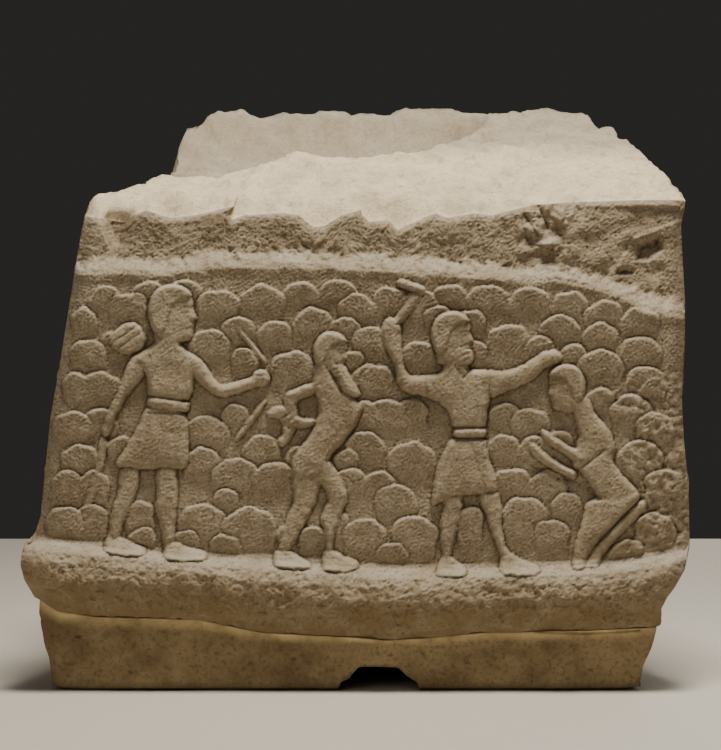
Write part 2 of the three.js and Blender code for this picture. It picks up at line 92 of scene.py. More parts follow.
# Section of the ledge: share of the way from its edge to the joint, depth
LEDGE_SECTION = [[-0.14, 0], [-0.05, -5], [0.02, -19], [0.1, -31], [0.25, -39], [0.45, -41],
  [0.65, -37], [0.85, -27], [1, -16]]
# Section of the strip: rows below its edge, depth behind the panel
STRIP_SECTION = [[-60, 21], [-14, 19], [-10, 17], [0, 2], [5, -2], [14, 0]]
FOOT_Y = -15            # front face of the foot
# Strap slot through the foot, [column, row] of its profile
SLOT = [[336, 700], [340, 683], [349, 679], [353, 673.5], [359, 667.4], [373, 667], [398, 668],
  [407, 676.6], [417, 682.7], [423, 700]]

# Relief of the figures: outline in grid units, relief height in mm
FIGURES = [
  # soldier with quiver and bow
  (9, [[132, 317], [149, 337], [143, 350], [123, 357], [103, 340]]),
  (7, [[232, 325], [237, 322], [269, 362], [264, 366]]),
  (7, [[263, 398], [269, 402], [238, 443], [232, 439]]),
  (6, [[99, 436], [109, 436], [105, 462], [101, 478], [96, 494], [91, 508], [88, 520], [81, 519],
    [82, 508], [87, 492], [92, 476], [97, 460]]),
  (14, [[162, 334], [150, 347], [141, 352], [133, 357], [140, 368], [146, 376], [147, 388],
    [148, 398], [188, 402], [191, 396], [194, 387], [194, 377], [202, 366], [200, 358], [190, 352],
    [182, 346], [180, 334]]),
  (11, [[141, 352], [131, 357], [126, 366], [121, 380], [113, 400], [106, 415], [101, 427],
    [102, 436], [108, 438], [113, 429], [116, 418], [121, 408], [128, 396], [137, 385], [148, 374]]),
  (12, [[186, 352], [196, 355], [203, 361], [209, 369], [215, 379], [222, 385], [236, 381],
    [251, 377], [254, 371], [262, 368], [270, 373], [271, 381], [266, 386], [257, 387], [246, 391],
    [235, 395], [224, 398], [215, 396], [207, 390], [199, 383], [192, 376]]),
  (13, [[147, 404], [142, 414], [136, 428], [126, 446], [112, 466], [128, 469], [146, 470],
    [166, 469], [188, 470], [189, 455], [189, 440], [188, 410]]),
  (16, [[147, 396], [160, 396], [175, 399], [190, 401], [189, 413], [172, 413], [156, 411],
    [146, 407]]),
  (10, [[119, 466], [140, 466], [139, 485], [134, 500], [127, 516], [121, 532], [119, 541],
    [107, 543], [109, 525], [112, 508], [115, 499], [118, 490]]),
  (12, [[106, 537], [120, 536], [130, 541], [142, 546], [147, 550], [144, 556], [125, 557],
    [105, 553], [103, 546]]),
  (11, [[154, 466], [177, 466], [178, 484], [178, 500], [176, 516], [175, 532], [175, 545],
    [163, 547], [161, 530], [157, 516], [153, 505], [157, 495]]),
  (12, [[163, 541], [176, 541], [188, 546], [202, 550], [209, 554], [205, 561], [185, 562],
    [163, 560]]),
  # bound captive
  (12, [[316, 362], [328, 362], [338, 380], [344, 392], [352, 396], [361, 404], [363, 412],
    [357, 425], [349, 437], [339, 448], [331, 456], [328, 464], [322, 476], [308, 481], [295, 478],
    [290, 468], [291, 459], [297, 450], [305, 440], [311, 432], [315, 422], [319, 411], [317, 400],
    [313, 391], [312, 376]]),
  (14, [[331, 362], [346, 364], [352, 379], [361, 391], [361, 397], [352, 398], [344, 394],
    [338, 386]]),
  (11, [[319, 379], [320, 390], [312, 396], [298, 400], [297, 410], [300, 418], [316, 418],
    [315, 426], [303, 429], [291, 428], [284, 424], [284, 410], [283, 399], [287, 391], [296, 388],
    [306, 384]]),
  (9, [[266, 412], [274, 406], [286, 405], [291, 411], [298, 426], [294, 434], [287, 446],
    [280, 448], [275, 442], [282, 434], [282, 424], [279, 419], [267, 418]]),
  (10, [[291, 464], [324, 466], [324, 478], [319, 490], [316, 503], [309, 516], [302, 530],
    [295, 543], [290, 553], [276, 555], [280, 540], [284, 527], [287, 514], [293, 505], [293, 492],
    [290, 478]]),
  (12, [[275, 549], [290, 549], [299, 556], [311, 562], [312, 569], [296, 570], [275, 568],
    [272, 560]]),
  (11, [[314, 460], [329, 459], [337, 470], [344, 482], [348, 494], [347, 503], [343, 511],
    [340, 521], [336, 533], [333, 544], [333, 553], [325, 554], [325, 541], [322, 528], [320, 516],
    [324, 507], [328, 500], [325, 490], [316, 478]]),
  (12, [[322, 550], [333, 549], [344, 556], [358, 560], [360, 569], [340, 573], [321, 571]]),
  # axeman
  (9, [[399, 328], [390, 322], [416, 288], [426, 294]]),
  (11, [[399, 277], [428, 287], [424, 297], [395, 286]]),
  (13, [[442, 346], [470, 346], [468, 370], [475, 369], [491, 370], [492, 384], [491, 400],
    [487, 412], [486, 430], [453, 430], [450, 416], [446, 409], [438, 402], [424, 397], [405, 391],
    [409, 376], [424, 375], [444, 373]]),
  (11, [[383, 321], [390, 316], [398, 319], [402, 327], [401, 340], [403, 358], [405, 367],
    [409, 376], [424, 376], [426, 392], [415, 396], [402, 391], [396, 381], [395, 368], [391, 358],
    [385, 348], [380, 332]]),
  (12, [[474, 369], [490, 370], [504, 371], [521, 366], [534, 357], [543, 350], [553, 348],
    [562, 352], [564, 360], [555, 365], [546, 368], [537, 377], [524, 385], [504, 393], [488, 400]]),
  (15, [[453, 427], [486, 426], [487, 439], [452, 439]]),
  (12, [[453, 437], [447, 443], [441, 455], [436, 468], [433, 484], [430, 508], [443, 501],
    [458, 496], [476, 495], [500, 492], [497, 482], [493, 468], [488, 452], [486, 437]]),
  (9, [[443, 496], [463, 492], [463, 508], [459, 524], [455, 540], [451, 559], [443, 562],
    [441, 545], [440, 530], [440, 520], [443, 510]]),
  (11, [[442, 556], [451, 556], [460, 563], [468, 568], [467, 577], [450, 578], [436, 577],
    [436, 566]]),
  (10, [[480, 492], [499, 490], [502, 506], [502, 520], [503, 532], [506, 545], [512, 556],
    [502, 560], [497, 548], [492, 535], [488, 524], [486, 514], [480, 504]]),
  (11, [[500, 554], [511, 553], [524, 560], [539, 565], [542, 574], [525, 577], [499, 575]]),
  # kneeling captive
  (11, [[568, 396], [588, 394], [598, 418], [606, 425], [613, 434], [616, 450], [613, 462],
    [621, 473], [630, 481], [638, 490], [638, 502], [620, 514], [603, 508], [597, 497], [590, 484],
    [582, 474], [572, 466], [572, 456], [577, 446], [578, 434], [574, 416]]),
  (12, [[541, 428], [548, 431], [562, 440], [576, 449], [590, 455], [586, 465], [574, 462],
    [560, 452], [547, 444], [540, 436]]),
  (12, [[527, 443], [535, 442], [542, 448], [553, 458], [565, 466], [578, 471], [576, 481],
    [562, 475], [548, 467], [538, 460], [530, 454]]),
  (13, [[585, 503], [598, 496], [618, 500], [638, 489], [641, 498], [636, 506], [620, 521],
    [600, 542], [590, 554], [585, 570], [571, 570], [574, 548], [579, 530], [583, 515]]),
  (9, [[632, 506], [643, 498], [649, 506], [640, 517], [628, 528], [616, 541], [604, 554],
    [598, 568], [583, 568], [590, 552], [600, 540], [620, 519]]),
]

# Heads share one plain profile. x runs from the nape to the nose, y from the
# crown to the chin, in head heights.
HEAD = [[0.40, 0], [0.56, 0.02], [0.70, 0.10], [0.77, 0.22], [0.79, 0.34], [0.775, 0.42], [0.83, 0.52],
  [0.86, 0.60], [0.80, 0.64], [0.80, 0.74], [0.78, 0.80], [0.79, 0.90], [0.72, 0.98], [0.60, 1.0], [0.50, 1.06],
  [0.12, 1.06], [0.10, 0.85], [0.02, 0.62], [0, 0.42], [0.06, 0.20], [0.20, 0.05]]
HAIR = [[0.40, -0.01], [0.56, 0.01], [0.71, 0.09], [0.79, 0.22], [0.62, 0.26], [0.46, 0.36], [0.38, 0.56],
  [0.32, 0.84], [0.10, 0.86], [0.01, 0.62], [-0.01, 0.42], [0.05, 0.19], [0.19, 0.04]]
# back of the head, crown, height, facing (1 right, -1 left), tilt in degrees, relief
HEADS = [
  (148, 284, 58, 1, 0, 14),
  (313, 331, 42, 1, 10, 12),
  (431, 311, 51, 1, 0, 13),
  (586, 364, 46, -1, -8, 11),
]

# Hills: column of the middle, row of the crest, half width, height of the mound
HILLS = [
  [106, 286, 18, 34], [128, 292, 20, 34], [150, 281, 22, 30], [184, 279, 20, 30], [218, 289, 22, 38],
  [262, 284, 24, 36], [300, 281, 20, 30], [338, 279, 22, 34], [357, 293, 20, 34], [390, 286, 20, 36],
  [450, 284, 20, 30], [420, 290, 20, 40], [488, 284, 23, 40], [530, 286, 22, 38], [570, 291, 20, 36],
  [604, 300, 20, 36], [640, 306, 20, 40], [88, 339, 20, 36], [238, 316, 18, 34], [274.7, 320.4, 18, 36],
  [314, 308, 23, 44], [371, 326, 20, 38], [346, 316, 16, 30], [440, 306, 16, 30], [470, 309, 16, 34],
  [509, 324, 24, 50], [560, 315, 22, 34], [540, 336, 16, 30], [600, 322, 18, 32], [640, 336, 22, 40],
  [209, 329, 22, 40], [100, 372, 25, 40], [293, 351, 24, 44], [369, 364, 20, 38], [419, 341, 18, 34],
  [378, 365, 16, 34], [601, 349, 24, 40], [645, 366, 22, 40], [72, 410, 20, 40], [99, 408, 20, 34],
  [386, 399, 22, 40], [412, 398, 16, 40], [206, 415, 24, 40], [236, 404, 16, 36], [262, 435, 20, 36],
  [530, 408, 20, 36], [505, 402, 16, 30], [600, 387, 16, 34], [632, 394, 22, 40], [655, 412, 20, 44],
  [80, 444, 20, 40], [202, 448, 20, 36], [236, 458, 26, 44], [274, 462, 22, 44], [365, 431, 21, 40],
  [412, 441, 26, 46], [504, 434, 18, 34], [536, 436, 18, 36], [640, 440, 24, 50], [664, 468, 20, 50],
  [68, 470, 18, 44], [94, 470, 16, 44], [350, 468, 20, 44], [380, 470, 16, 40], [396, 484, 22, 44],
  [512.8, 468.3, 22, 40], [548, 470, 20, 40], [64, 506, 20, 44], [92, 504, 16, 44], [140, 500, 16, 50],
  [202, 503, 25, 54], [250, 507, 27, 54], [365, 518, 23, 54], [414, 515, 24, 58], [525, 497, 24, 60],
  [553, 519, 18, 44], [567, 492, 16, 40], [655, 512, 22, 50], [628, 540, 20, 30], [142, 528, 16, 30],
  [225, 534, 16, 28], [392, 542, 16, 30],
]


# Finer edge of the shelf above the band
BAND_TOP = [[85, 214], [134, 222], [148, 210], [179, 218], [203, 215], [230, 206], [239, 220], [251, 215],
    [287, 213], [304, 215], [321, 227], [332, 226], [347, 215], [361, 210], [375, 222], [394, 220],
    [404, 230], [438, 213], [452, 218], [476, 213], [495, 215], [530, 205], [576, 202], [640, 200], [690, 200]]
MORE_HILLS = [[84, 307, 14, 34], [112, 331, 12, 30], [245, 346, 15, 36], [74, 372, 12, 34],
    [352, 350, 12, 24], [574, 344, 14, 30], [474, 340, 14, 30], [364, 400, 12, 30], [120, 436, 14, 30],
    [300, 446, 14, 30], [346, 448, 12, 30], [560, 430, 14, 30], [226, 488, 14, 30], [313, 526, 15, 36],
    [340, 512, 10, 40], [470, 506, 14, 60], [186, 530, 14, 30], [287, 524, 10, 36]]
# Cut or raised lines on the front: x0, y0, x1, y1, half width, height in mm
STROKES = [
    (110, 345, 138, 325, 1.2, -1.6), (116, 350, 143, 331, 1.2, -1.4), (105, 341, 133, 319, 1.6, 1.2),
    (258, 366, 257, 386, 1.0, -1.6), (264, 368, 263, 385, 1.0, -1.4), (252, 375, 270, 376, 1.0, -1.0),
    (148, 413, 188, 413, 1.2, -1.6), (148, 404, 189, 407, 1.2, -0.9), (150, 416, 140, 466, 1.4, -0.9),
    (172, 416, 176, 466, 1.4, -0.8), (288, 393, 318, 384, 3.0, 1.6), (298, 420, 315, 421, 2.6, 1.2),
    (282, 418, 292, 411, 1.0, -1.5), (286, 423, 296, 416, 1.0, -1.5), (289, 428, 298, 421, 1.0, -1.5),
    (272, 440, 284, 446, 1.0, -1.2), (362, 412, 347, 440, 2.0, -2.4), (331, 366, 350, 394, 1.0, -1.0),
    (337, 364, 356, 394, 1.0, -1.0), (327, 366, 341, 392, 1.6, -2.4),
    (453, 427, 487, 427, 1.2, -1.8), (453, 439, 488, 439, 1.3, -2.0), (455, 366, 464, 377, 1.2, -1.4),
    (464, 377, 474, 367, 1.2, -1.4), (470, 441, 486, 491, 1.3, -1.0), (456, 441, 448, 492, 1.3, -0.9),
    (399, 285, 424, 296, 1.5, -1.6), (488, 371, 490, 398, 1.6, -2.0), (425, 377, 427, 397, 1.6, -1.8),
    (604, 450, 579, 470, 1.8, -3.0), (636, 504, 600, 540, 2.0, -3.2), (526, 461, 558, 478, 2.6, -2.6),
    (558, 478, 579, 483, 2.4, -2.6), (531, 446, 540, 458, 0.9, -1.2), (536, 347, 563, 339, 1.2, 1.4),
    (544, 352, 560, 350, 0.8, -1.0), (590, 490, 598, 499, 2.6, -3.2), (189, 296, 168, 303, 1.2, 1.0),
    (150, 331, 160, 338, 2.8, -3.0), (107, 437, 108, 439, 2.6, -3.2), (92, 440, 93, 444, 3.0, -2.4),
    (171, 431, 171.5, 433, 1.2, -2.2), (172, 489, 172.5, 491, 1.2, -2.2), (262, 611, 266, 613, 1.6, -3.0),
    (208, 551, 196, 558, 1.0, -1.0), (300, 563, 309, 567, 1.0, -1.0), (520, 566, 536, 571, 1.0, -1.0),
    (619, 272, 630, 272, 2.6, -6.0), (645, 248, 656, 243, 5.0, -4.0), (646, 187, 673, 196, 1.8, 2.4),
    (661, 193, 681, 205, 1.4, -3.0), (577, 203, 560, 233, 1.6, 2.2), (560, 233, 552, 256, 1.6, 2.2),
    (524, 214, 538, 236, 1.0, -3.5), (538, 206, 548, 228, 1.0, -3.0), (530, 244, 552, 250, 1.0, -2.6),
    (302, 244, 322, 260, 1.6, -1.6), (318, 242, 306, 258, 1.6, 1.4), (612, 402, 630, 404, 3.4, -3.4),
    (612, 395, 630, 380, 1.6, 1.8), (638, 528, 630, 548, 4.0, -3.4),
]

STEP = 0.5
R0, R1 = 180.0, 672.0


def along(table, t):
    a = np.array(table, float)
    return np.interp(np.asarray(t, float), a[:, 0], a[:, 1])


def lerp(a, b, t):
    return a + (b - a) * t


def ease(a, b, t):
    s = np.clip((t - a) / (b - a), 0, 1)
    return s * s * (3 - 2 * s)


def at(col, row, y):
    k = 1 + y / VIEW
    return (col - COL0) * UNIT * k, EYE_Z + (ROW0 - row) * UNIT * k


def wave(x, y, z):
    return (np.sin(x * 0.031 + y * 0.017 + 1.3) * np.sin(z * 0.027 - y * 0.021 + 0.4) * 0.6
            + np.sin(x * 0.071 - z * 0.053 + y * 0.063 + 2.1) * 0.4)


def corner(i, j, k, seed):
    n = (i * 374761393 + j * 668265263 + k * 982451653 + seed * 127412617) & 0xFFFFFFFF
    n = ((n ^ (n >> 13)) * 1274126177) & 0xFFFFFFFF
    return ((n ^ (n >> 16)) & 0xFFFF) / 32767.5 - 1


def noise(x, y, z, size, seed):
    """Smooth value noise between -1 and 1."""
    p = [np.asarray(a, float) / size for a in (x, y, z)]
    i = [np.floor(a).astype(np.int64) for a in p]
    f = [a - b for a, b in zip(p, i)]
    f = [a * a * (3 - 2 * a) for a in f]
    out = 0
    for di in (0, 1):
        for dj in (0, 1):
            for dk in (0, 1):
                w = ((f[0] if di else 1 - f[0]) * (f[1] if dj else 1 - f[1]) * (f[2] if dk else 1 - f[2]))
                out = out + w * corner(i[0] + di, i[1] + dj, i[2] + dk, seed)
    return out


# ---------------------------------------------------------------- relief of the front, in mm towards the viewer
C, R = np.meshgrid(np.arange(0, 722, STEP), np.arange(R0, R1, STEP))
FY = np.fft.fftfreq(C.shape[0], STEP)[:, None]
FX = np.fft.rfftfreq(C.shape[1], STEP)[None, :]
FR = np.hypot(FY, FX)


def grain(short, long, seed):
    """Noise with wavelengths between short and long grid units."""
    f = np.fft.rfft2(np.random.default_rng(seed).standard_normal(C.shape))
    n = np.fft.irfft2(f * (np.exp(-(FR * short) ** 4) - np.exp(-(FR * long) ** 4)), C.shape)
    return n / n.std()


def blur(a, size):
    return np.fft.irfft2(np.fft.rfft2(a) * np.exp(-(FR * size) ** 2 * 9.8), C.shape)


def window(c0, c1, r0, r1, pad=8):
    i0 = max(0, int((r0 - pad - R0) / STEP))
    i1 = min(C.shape[0], int((r1 + pad - R0) / STEP) + 1)
    j0 = max(0, int((c0 - pad) / STEP))
    j1 = min(C.shape[1], int((c1 + pad) / STEP) + 1)
    return slice(i0, i1), slice(j0, j1)


def rounded(poly, times=2):
    p = np.array(poly, float)
    for _ in range(times):
        q = np.roll(p, -1, 0)
        p = np.stack([p * 0.78 + q * 0.22, p * 0.22 + q * 0.78], 1).reshape(-1, 2)
    return p


def inside_by(poly, cc, rr):
    """Distance inside an outline, negative outside."""
    d = np.full(cc.shape, 1e9)
    odd = np.zeros(cc.shape, bool)
    for (x0, y0), (x1, y1) in zip(poly, np.roll(poly, -1, 0)):
        ex, ey = x1 - x0, y1 - y0
        t = np.clip(((cc - x0) * ex + (rr - y0) * ey) / (ex * ex + ey * ey + 1e-9), 0, 1)
        d = np.minimum(d, (cc - x0 - ex * t) ** 2 + (rr - y0 - ey * t) ** 2)
        if y0 != y1:
            odd ^= ((y0 > rr) != (y1 > rr)) & (cc < (x1 - x0) * (rr - y0) / (y1 - y0) + x0)
    return np.where(odd, np.sqrt(d), -np.sqrt(d))


def quarter(d, r):
    t = 1 - np.clip(d / r, 0, 1)
    return np.sqrt(1 - t * t)


edge, joint, strip = along(LEDGE, C), along(JOINT, C), along(STRIP, C)
T = (R - edge) / (joint - edge)
SCENE = ease(2, 10, R - strip) * ease(-0.10, -0.2, T)
peck = grain(2.6, 5.0, 1)
lumps = grain(7, 22, 2)
broad = grain(30, 90, 3)
cut = grain(4.5, 9, 4)
warp = grain(14, 40, 5)
flakes = blur(np.round(grain(18, 60, 8) * 1.5) / 1.5, 0.8)

relief = np.zeros(C.shape)
for col, row, half, tall in sorted(HILLS + MORE_HILLS, key=lambda h: h[1]):
    a = np.pi * (1 - np.arange(15) / 14)
    outline = np.stack([col + half * np.cos(a), row + half * 0.86 * (1 - np.sin(a))], 1)
    outline = np.vstack([outline, [[col + half * 0.8, row + tall + 8], [col - half * 0.8, row + tall + 8]]])
    w = window(col - half, col + half, row, row + tall + 8)
    cc, rr = C[w], R[w]
    d = inside_by(outline, cc, rr) + 0.7 * warp[w]
    low = ease(tall + 6, tall * 0.5, rr - row)
    a = quarter(d, 3.4) * low
    t = np.clip((rr - row) / tall, 0, 1)
    body = lerp(6.8, 1.6, t) + 0.7 * np.cos((cc - col) / half * 1.4)
    groove = 1.3 * np.exp(-((d + 1.2) / 1.5) ** 2) * (d < 1) * ease(half * 1.2, half * 0.6, rr - row)
    relief[w] = relief[w] * (1 - a) + body * a - groove
relief *= SCENE

made = np.zeros(C.shape)
for h, p in FIGURES:
    p = rounded(p)
    w = window(p[:, 0].min(), p[:, 0].max(), p[:, 1].min(), p[:, 1].max())
    d = inside_by(p, C[w], R[w]) + 0.45 * lumps[w] * 0.5
    r = min(6.5, max(2.4, h * 0.55))
    v = h * (0.86 * quarter(d, r) + 0.14 * np.clip(d / (2.2 * r), 0, 1))
    made[w] = (made[w] ** 7 + v ** 7) ** (1 / 7)


def local(head):
    """Head coordinates of the grid round a head: x from nape to nose, y from crown to chin."""
    col, row, size, face, tilt, h = head
    w = window(col - size, col + size, row - size * 0.2, row + size * 1.2, 4)
    a = math.radians(tilt)
    gx = (C[w] - col - face * 0.42 * size) / size
    gy = (R[w] - row - 0.5 * size) / size
    return w, (gx * math.cos(a) + gy * math.sin(a)) * face + 0.42, -gx * math.sin(a) + gy * math.cos(a) + 0.5


def spot(x, y, cx, cy, rx, ry):
    return np.exp(-(((x - cx) / rx) ** 2 + ((y - cy) / ry) ** 2))


def line(x, y, x0, y0, x1, y1, r):
    ex, ey = x1 - x0, y1 - y0
    t = np.clip(((x - x0) * ex + (y - y0) * ey) / (ex * ex + ey * ey), 0, 1)
    return np.exp(-((x - x0 - ex * t) ** 2 + (y - y0 - ey * t) ** 2) / r ** 2)


BEARDS = {1: [[0.66, 0.70], [0.80, 0.74], [0.88, 0.90], [0.84, 1.06], [0.66, 1.10], [0.46, 0.98], [0.44, 0.72]],
          2: [[0.50, 0.66], [0.80, 0.72], [0.86, 0.92], [0.80, 1.04], [0.60, 1.08], [0.44, 0.96], [0.42, 0.70]]}
for number, head in enumerate(HEADS):
    w, x, y = local(head)
    size, h = head[2], head[5]
    face = inside_by(rounded(HEAD, 1), x, y) * size
    cap = inside_by(rounded(HAIR, 1), x, y) * size
    v = h * (0.84 * quarter(face, 6) + 0.16 * np.clip(face / 14, 0, 1))
    mask = ease(0, 2, face)
    v += mask * (1.0 * spot(x, y, 0.66, 0.435, 0.055, 0.026) - 0.9 * spot(x, y, 0.66, 0.40, 0.09, 0.018)
                 + 0.9 * line(x, y, 0.56, 0.365, 0.74, 0.36, 0.028) + 0.8 * spot(x, y, 0.60, 0.62, 0.12, 0.11)
                 - 0.8 * spot(x, y, 0.70, 0.48, 0.05, 0.03) + 0.7 * spot(x, y, 0.755, 0.61, 0.035, 0.035)
                 - 1.1 * line(x, y, 0.70, 0.765, 0.79, 0.755, 0.016) + 0.5 * line(x, y, 0.71, 0.72, 0.79, 0.72, 0.022)
                 + 0.5 * line(x, y, 0.71, 0.81, 0.77, 0.81, 0.022))
    v = np.maximum(v, (h + 2.6) * quarter(cap, 4.5))
    if number in BEARDS:
        beard = inside_by(rounded(BEARDS[number], 2), x, y) * size
        v = np.maximum(v, (h + 1.0) * quarter(beard, 4)
                       + 0.5 * np.sin((x * 0.4 + y) * 60) * ease(0, 3, beard))
    v += ease(0, 1.5, np.maximum(face, cap)) * (1.8 * spot(x, y, 0.39, 0.53, 0.055, 0.09)
                                               - 1.4 * spot(x, y, 0.40, 0.53, 0.022, 0.045))
    v = np.maximum(v, 0)
    made[w] = (made[w] ** 9 + v ** 9) ** (1 / 9)

body_mask = ease(0.5, 3, made)
shadow = blur((made > 3).astype(float), 2.6)
relief = np.maximum(relief - 1.6 * np.clip(shadow * 2, 0, 1) * (1 - body_mask) * SCENE, made)

for x0, y0, x1, y1, r, v in STROKES:
    w = window(min(x0, x1), max(x0, x1), min(y0, y1), max(y0, y1), 4 * r + 4)
    relief[w] += v * line(C[w], R[w], x0, y0, x1, y1, r * 1.15) * (1 + 0.25 * lumps[w])

# spall out of the top left corner, recess and flaked patch at the right
for poly, slope, deep in (([[99, 212], [136, 214], [131, 246], [117, 266], [102, 232]], 1.5, 17),
                          ([[634, 262], [637, 244], [660, 236], [664, 250], [650, 262]], 1.6, 9),
                          ([[300, 242], [326, 240], [324, 262], [304, 264]], 0.5, 3)):
    p = np.array(poly, float)
    w = window(p[:, 0].min(), p[:, 0].max(), p[:, 1].min(), p[:, 1].max())
    relief[w] -= np.clip(inside_by(p, C[w], R[w]) * slope, 0, deep)
plane = inside_by(np.array([[577, 203], [560, 233], [552, 256], [555, 278], [600, 288], [622, 266],
    [637, 240], [684, 222], [684, 203]], float), C, R)
relief += np.clip(plane * 0.9, 0, 2.5) - ease(0, 6, plane) * np.clip((C - 560) * 0.055, 0, 5)
flaky = ease(512, 528, C) * ease(572, 556, C) * ease(262, 248, R)
facet = ease(556, 572, C) * ease(680, 660, C) * ease(0, -8, R - strip)
upper = ease(2, -8, R - strip)
ledge = ease(-0.08, 0.03, T)
ridges = 1 - 2 * np.abs(np.clip(grain(9, 26, 6), -2, 2)) / 1.2
margin = ease(616, 646, C) * ease(360, 400, R) * SCENE
relief += flaky * (2.6 * flakes + 0.5 * lumps)
relief += upper * (1 - facet) * (0.35 * lumps + 0.14 * cut + 0.35 * flakes + 0.5 * broad) + facet * (0.9 * broad + 0.3 * lumps + 1.0 * flakes)
relief += ledge * (0.45 * ridges * ease(0, 0.2, T) + 0.55 * lumps + 0.12 * cut + 0.8 * flakes + 1.3 * broad)
relief += margin * (1 - body_mask) * (0.7 * lumps + 0.15 * cut + 0.8 * flakes)
relief += (0.46 * peck + 0.08 * cut) * lerp(1, 0.75, body_mask) + 0.14 * lumps * SCENE + 0.45 * broad * SCENE
relief += ease(-18, -9, R - strip) * ease(10, 0, R - strip) * (0.6 * lumps + 0.8 * flakes)
# cavity marks the recesses of the relief, which the stone material paints with shade
cavity = np.clip((blur(relief, 2.2) - relief) / 2.2, 0, 1)
proud = np.clip((relief - blur(relief, 3.0)) / 2.6, 0, 1)


def sample(grid, col, row):
    x = np.clip(np.asarray(col) / STEP, 0, grid.shape[1] - 1.001)
    y = np.clip((np.asarray(row) - R0) / STEP, 0, grid.shape[0] - 1.001)
    i, j = y.astype(int), x.astype(int)
    fy, fx = y - i, x - j
    return ((grid[i, j] * (1 - fx) + grid[i, j + 1] * fx) * (1 - fy)
            + (grid[i + 1, j] * (1 - fx) + grid[i + 1, j + 1] * fx) * fy)


# ---------------------------------------------------------------- the block and the foot in space
def panel_y(row):
    return (572 - row) * UNIT * LEAN


def front_y(col, row):
    e, j, s = along(LEDGE, col), along(JOINT, col), along(STRIP, col)
    t = (row - e) / (j - e)
    low = along(LEDGE_SECTION, t) + np.where(t < 0, np.maximum(0, panel_y(row)), 0)
    return np.where(t > -0.14, low, panel_y(row) + along(STRIP_SECTION, row - s))


def top_z(x, y):
    base = along([[0, 486], [34, 499], [60, 517], [130, 557], [165, 571], [230, 595], [320, 618], [380, 636],
                  [430, 650]], y)
    left = ease(-60, -190, x) * ease(60, 140, y) * ease(230, 180, y) * -20
    reach = along([[120, -10], [165, 40], [200, 76], [250, 110], [350, 143], [400, 120], [430, 60]], y)
    inside = ease(20, -30, x - reach)
    trough = along([[120, 0], [165, -4], [195, -34], [230, -52], [270, -60], [320, -60], [360, -46], [385, -24],
                    [405, -6], [430, 0]], y) * inside
    lump = ease(-110, -170, x) * ease(215, 275, y) * ease(470, 380, y) * 14
    return base + left + trough + lump + 2.5 * wave(x * 1.7, y * 1.7, 40)


def joint_z(x, y):
    col = COL0 + x / UNIT
    return EYE_Z + (ROW0 - along(JOINT, col)) * UNIT * (1 + FOOT_Y / VIEW) + 6 * ease(0, 400, y)


def front_point(u, w):
    low, high = along(JOINT, lerp(38, 657, u)), along(BAND_TOP, lerp(93, 684, u))
    row = lerp(low, high, w)
    return lerp(along(LEFT, row), along(RIGHT, row), u), row


def hewn(x, y, z, seed):
    r = (1.6 * noise(x, y, z, 46, seed) + 1.1 * noise(x, y, z, 21, seed + 1) + 0.6 * noise(x, y, z, 10, seed + 2)
         + 0.35 * noise(x, y, z, 5, seed + 3))
    return r + 1.2 * (1 - 2 * np.abs(noise(x, y, z, 34, seed + 4)))


def side_round(u):
    return 16 * np.maximum(0, 1 - u / 0.028) ** 2 + 16 * np.maximum(0, 1 - (1 - u) / 0.028) ** 2


def block_place(u, v, w):
    col, row = front_point(u, w)
    fy = front_y(col, row) + side_round(u) - sample(relief, col, row)
    fy = fy + 5 * np.maximum(0, (w - 0.982) / 0.018) ** 2
    fx, fz = at(col, row, fy)
    base_y = front_y(col, row) + side_round(u)
    bx = lerp(lerp(-292, -206, w ** 1.4), lerp(286, 262, w), u)
    by = DEPTH - BACK_INSET * np.abs(2 * u - 1) ** 3 - 26 * ease(0.9, 1, w) - 22 * ease(0.25, 0, w)
    x, y = lerp(fx, bx, v), lerp(lerp(fy, base_y, ease(0, 0.05, v)), by, v)
    x = x + 34 * ease(0, 0.24, v) * ease(1, 0.45, v) * ease(0.72, 1, w) * ease(0.35, 0, u)
    skin = ease(0, 0.12, v)
    rough = hewn(x, y, fz, 11)
    near = ease(0, 0.02, v)
    slabs = np.round(1.7 * noise(x + 8 * noise(x, y, fz, 26, 63), y, fz, 78, 61) + 0.9 * noise(x, y, fz, 34, 62)) / 1.7
    x = x + np.where(u == 0, -1, np.where(u == 1, 1, 0)) * (skin * ROUGH * wave(x, y, fz) + near * 1.8 * rough + ease(0, 0.10, v) * 2.6 * slabs)
    y = y + np.where(v == 1, 1, 0) * (ROUGH * wave(x, y, fz) + 1.8 * rough + 3.0 * slabs)
    ec, er = front_point(u, np.ones_like(w))
    edge_top = at(ec, er, front_y(ec, er))[1]
    broken = hewn(x, y, fz * 0 + 60, 31)
    chips = np.round(1.6 * noise(x + 9 * noise(x, y, x * 0, 30, 47), y, x * 0, 75, 41) + 0.8 * noise(x, y, x * 0, 33, 43)) / 1.6
    z1 = lerp(edge_top, top_z(x, y), ease(0, 0.07, v)) + ease(0, 0.04, v) * (2.6 * broken + 3.4 * chips)
    void = np.clip(noise(x, y * 0, y * 0, 9, 5) - 0.35, 0, 1) * 3.0 * ease(0.06, 0, v)
    z0 = joint_z(x, y) + BED_GAP + void
    z = np.where(v == 0, np.where(w == 0, z0, fz), lerp(z0, z1, w))
    return np.stack([x, y, z], 1)


def slot_z(x):
    p = np.array(SLOT, float)
    sx, sz = at(p[:, 0], p[:, 1], FOOT_Y)
    return np.maximum(0, np.interp(x, sx, sz, left=0, right=0))


